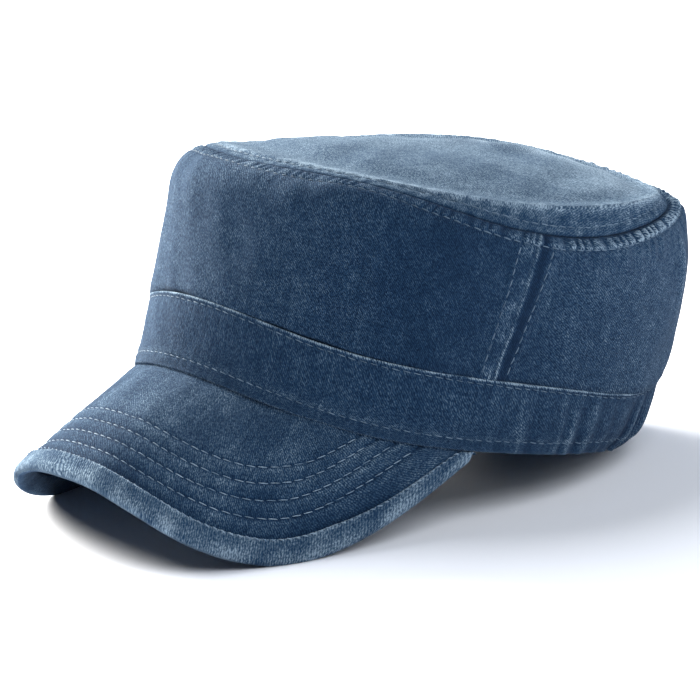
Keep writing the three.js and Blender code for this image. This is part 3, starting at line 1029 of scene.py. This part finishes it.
def loose_end(angle, length):
    """An end of thread that curls away from the band's top edge."""
    angle, level = np.array([angle]), np.array([LOOSE_LEVEL])
    start, out = band_points(angle, level)[0], normals(band_base, angle, level)[0]
    aside = np.cross(np.array([0, 0, 1.0]), out)
    aside = aside / np.linalg.norm(aside)
    rings, around = 9, 5
    t = np.linspace(0, 1, rings)[:, None]
    path = start + length * (LOOSE_OUT * t * out + LOOSE_CURL * t ** 2 * aside)
    turns = ring_turns(around)[:, None]
    ring = np.cos(turns) * aside + np.sin(turns) * np.cross(out, aside)
    body = (path[:, None] + LOOSE_RADIUS * (1 - 0.5 * t[:, None]) * ring).reshape(-1, 3)
    ends = [tuple(range(around))[::-1], tuple(range((rings - 1) * around, rings * around))]
    return body, ends + tube_faces(0, rings, around)


def thread_object(name, rows, material):
    points, faces, offset = [], [], 0
    for vertices, cells in rows:
        points.append(vertices)
        faces.extend(tuple(i + offset for i in cell) for cell in cells)
        offset += len(vertices)
    return linked(name, smooth_mesh(name, placed(np.concatenate(points)), faces, material))


def all_round():
    return np.linspace(-math.pi, math.pi, RING_POINTS)


def rim_row(seed):
    angle, drop = all_round(), np.full(RING_POINTS, RIM_STITCH)
    level = levels_below_seam(angle, drop[None, :])[0][0]
    return stitched(wall_points(angle, level, drop), normals(crown_base, angle, level), seed=seed)


def side_seam_row(sign, way, seed):
    drop = np.linspace(*SEAM_ROW, SEAM_POINTS)
    level = levels_below_seam(np.array([SIDE_SEAM_HEAD]), drop[:, None])[0][:, 0]
    keep = level > BAND_EDGE
    drop, level = drop[keep], level[keep]
    angle = sign * (side_seam_angle(level) + way * seam_stitch(drop) / SIDE_RADIUS)
    return stitched(wall_points(angle, level, drop), normals(crown_base, angle, level), seed=seed)


def top_row(seed):
    angle = all_round()
    way = TOP_STITCH / rim_length(angle)
    return stitched(top_points(angle, way), normals(top_base, angle, way), seed=seed)


def band_row(level, seed):
    angle = all_round()
    level = np.full_like(angle, level)
    return stitched(band_points(angle, level), normals(band_base, angle, level), radius=0.19, seed=seed)


def visor_row(row, seed):
    side = np.linspace(-VISOR_REACH, VISOR_REACH, VISOR_POINTS)
    depth = row_depth(side, row)
    kept = visor_length(side) > depth + ROW_CLEARANCE
    side, depth = side[kept], depth[kept]
    out = visor_normal(side, depth)
    return stitched(visor_points(side, depth), out, pitch=4.3, share=0.88, radius=0.2, seed=seed)


def binding_row(seed):
    side = np.linspace(-BINDING_ROW_REACH, BINDING_ROW_REACH, VISOR_POINTS)
    depth = np.minimum(square_in(side, BINDING_ROW), visor_length(side) - BINDING_ROW_CLEARANCE)
    above = np.full_like(side, VISOR_BOARD / 2 + GAP + BINDING_CLOTH - BINDING_ROW_SINK)
    points, out = off_visor(side, depth, above), visor_normal(side, depth)
    return stitched(points, out, pitch=3.0, share=0.62, radius=0.28, slant=0.35, seed=seed)


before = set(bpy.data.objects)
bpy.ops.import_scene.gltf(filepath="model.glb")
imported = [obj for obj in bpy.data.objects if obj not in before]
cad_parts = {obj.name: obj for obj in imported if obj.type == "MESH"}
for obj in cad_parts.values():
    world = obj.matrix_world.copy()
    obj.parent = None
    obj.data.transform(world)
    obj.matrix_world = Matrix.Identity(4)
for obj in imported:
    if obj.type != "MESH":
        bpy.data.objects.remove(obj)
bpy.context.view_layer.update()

crown_twill = twill_material("crown_twill", tone=-0.02, slub=0.16, contrast=1.05)
# The top's lighter tone is partly bleached cloth and partly painted light, as the top faces the lamps
top_twill = twill_material("top_twill", tone=0.295, slub=0.25, contrast=0.7)
band_twill = twill_material("band_twill", tone=-0.03, slub=0.3, contrast=1.0)
visor_twill = twill_material("visor_twill", tone=0.03, slub=0.3)
binding_twill = twill_material("binding_twill", tone=0.215, slub=0.12, lean=0.4, contrast=0.65)
bright_thread = thread_material("bright_thread", BRIGHT_FADE)
faded_thread = thread_material("faded_thread", FADED_FADE)

PIECES = [
    (wall_panel("front_wall", False, FRONT_COLUMNS, crown_twill), "front_panel", "crown_twill"),
    (wall_panel("back_wall", True, BACK_COLUMNS, crown_twill), "back_panel", "crown_twill"),
    (top_panel("crown_top", top_twill), "top_panel", "top_twill"),
    (band_ring("folded_band", band_twill), "band", "band_twill"),
    (visor_board("visor_twill_board", visor_twill), "visor", "visor_twill"),
    (visor_binding("bound_edge", binding_twill), "visor_binding", "binding_twill"),
]
for piece, cad_node, slot in PIECES:
    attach(piece, "root")
    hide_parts(cad_node)

THREADS = [
    ("rim_thread", faded_thread, "crown_twill", [rim_row(101), top_row(102)]),
    ("side_seam_thread", faded_thread, "crown_twill",
     [side_seam_row(sign, way, 110 + sign + 5 * way) for sign in (1, -1) for way in (1, -1)]),
    ("band_thread", faded_thread, "band_twill",
     [band_row(BAND_FOOT_STITCH, 121), band_row(BAND_TOP_STITCH, 122)]),
    ("loose_thread", bright_thread, "band_twill", [loose_end(*end) for end in LOOSE_ENDS]),
    ("visor_thread", bright_thread, "visor_twill",
     [visor_row(row, 130 + k) for k, row in enumerate(VISOR_ROWS)]),
    ("binding_thread", bright_thread, "binding_twill", [binding_row(141)]),
]
for name, material, slot, rows in THREADS:
    piece = thread_object(name, rows, material)
    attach(piece, "root")


# Stage

def studio_floor():
    mesh = bpy.data.meshes.new("studio_floor")
    corners = [(-1, -1), (1, -1), (1, 1), (-1, 1)]
    mesh.from_pydata([(FLOOR_REACH * x, FLOOR_REACH * y, 0) for x, y in corners], [], [(0, 1, 2, 3)])
    mesh.materials.append(new_material("studio_floor", FLOOR_SHADER)[0])
    return linked("studio_floor", mesh)


studio_floor()

right = Vector((math.cos(AZIMUTH), math.sin(AZIMUTH), 0))
toward = Vector((math.sin(AZIMUTH), -math.cos(AZIMUTH), 0))
upward = Vector((0, 0, 1))
away = Vector((math.sin(AZIMUTH) * math.cos(ELEVATION), -math.cos(AZIMUTH) * math.cos(ELEVATION),
               math.sin(ELEVATION)))
turn = Matrix.Rotation(PHOTO_TILT - REST_TILT, 4, "X")
origin = Matrix.Translation((0, REST_SHIFT / METRE, REST_LIFT / METRE))
looking = away.to_track_quat("Z", "Y").to_matrix().to_4x4()

camera = linked("camera", bpy.data.cameras.new("camera"))
camera.matrix_world = origin @ turn @ Matrix.Translation(TARGET + away * DISTANCE) @ looking
camera.data.sensor_width = SENSOR
camera.data.lens = SENSOR * FOCAL_PIXELS / IMAGE_PIXELS
camera.data.shift_x = -(AIM_PIXEL[0] - IMAGE_PIXELS / 2) / IMAGE_PIXELS
camera.data.shift_y = -(IMAGE_PIXELS / 2 - AIM_PIXEL[1]) / IMAGE_PIXELS
camera.data.clip_end = 100
bpy.context.scene.camera = camera


def hung(name, light, sideways, near, up):
    lamp = linked(name, light)
    lamp.location = right * sideways + toward * near + upward * up
    lamp.rotation_euler = (lamp.location - LIGHT_AIM).to_track_quat("Z", "Y").to_euler()


for name, sideways, near, up, width, power, colour in LIGHTS:
    light = bpy.data.lights.new(name, "AREA")
    light.shape = "DISK"
    light.size = width
    light.energy = power
    light.color = colour
    hung(name, light, sideways, near, up)

for name, sideways, near, energy in SUNS:
    light = bpy.data.lights.new(name, "SUN")
    light.energy = energy
    light.angle = SUN_SPREAD
    hung(name, light, sideways, near, SUN_UP)

world = bpy.data.worlds.new("studio")
world.use_nodes = True
sky = world.node_tree.nodes["Background"]
sky.inputs["Color"].default_value = SKY_COLOUR
sky.inputs["Strength"].default_value = SKY_STRENGTH
bpy.context.scene.world = world
bpy.context.scene.view_settings.view_transform = "Standard"
